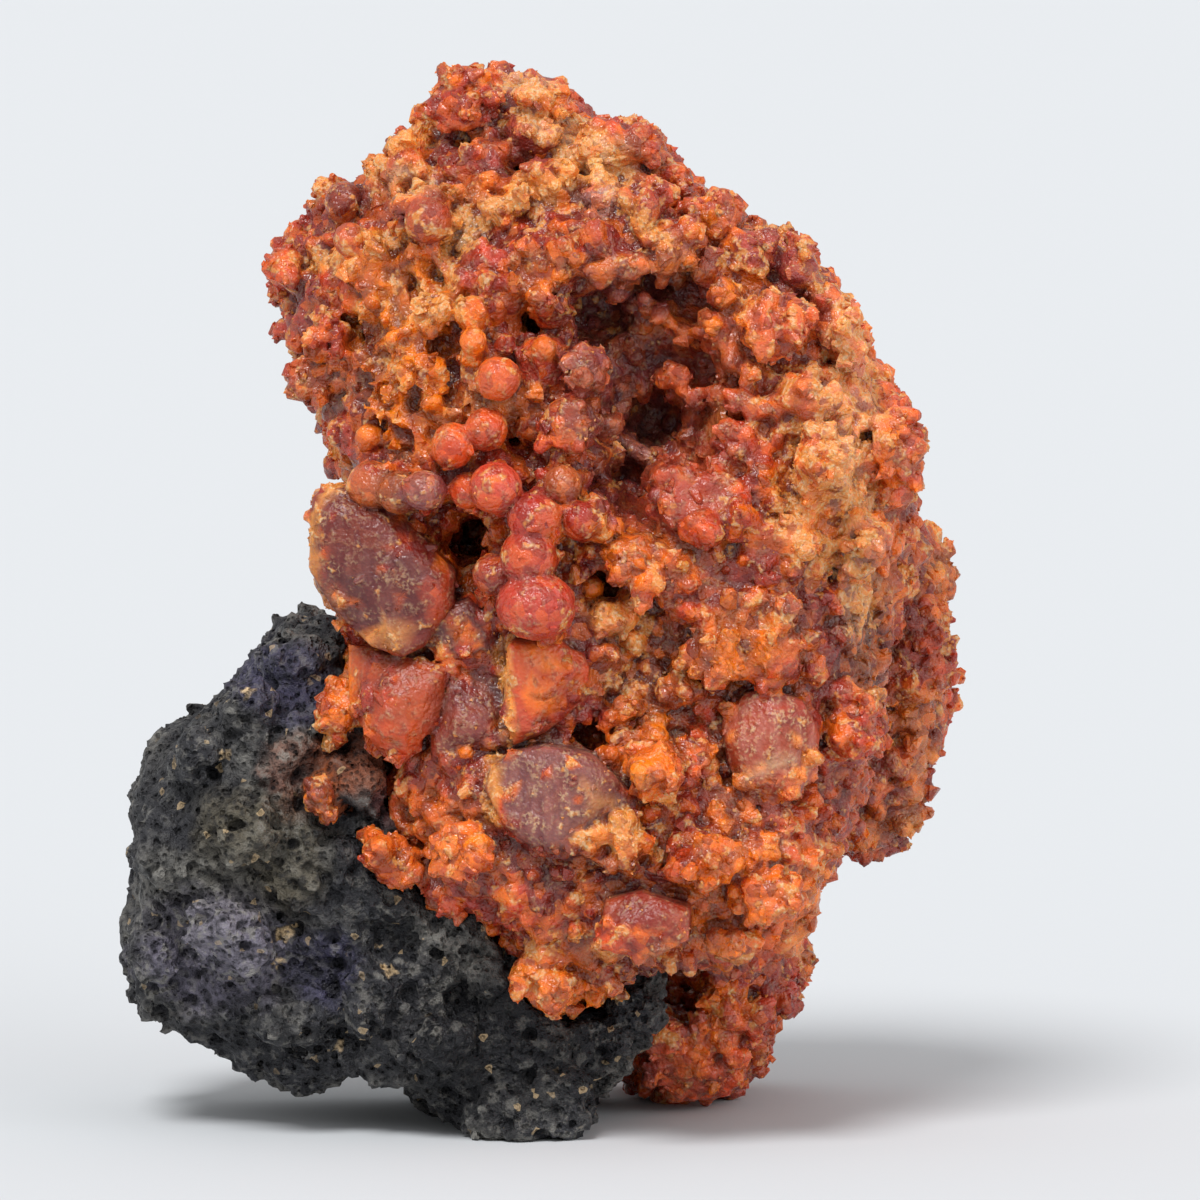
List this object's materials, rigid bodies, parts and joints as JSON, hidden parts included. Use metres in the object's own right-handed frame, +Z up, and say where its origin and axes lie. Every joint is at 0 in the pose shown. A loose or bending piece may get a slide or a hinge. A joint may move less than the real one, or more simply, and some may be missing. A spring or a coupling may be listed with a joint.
{
  "type": "zincite specimen on matrix",
  "caption": "Mineral specimen 67 mm tall: a lobed mass of orange and red zincite crystals, with an open vug in its front, standing on a dark porous slag foot.",
  "frame": {"origin": "on the floor under the middle of the specimen, on the flat underside of its slag foot", "axes": "+Z up through the specimen, +X to the right as seen from its front, -Y out of its front, where the vug opens"},
  "size_m": [0.0532, 0.0375, 0.0669],
  "materials": {
    "slag": "matte",
    "zincite": "satin",
    "zincite_brown": "satin"
  },
  "bodies": {
    "root": {"matrix": "slag", "zincite_mass": "zincite", "zincite_patch": "zincite_brown"}
  },
  "joints": []
}
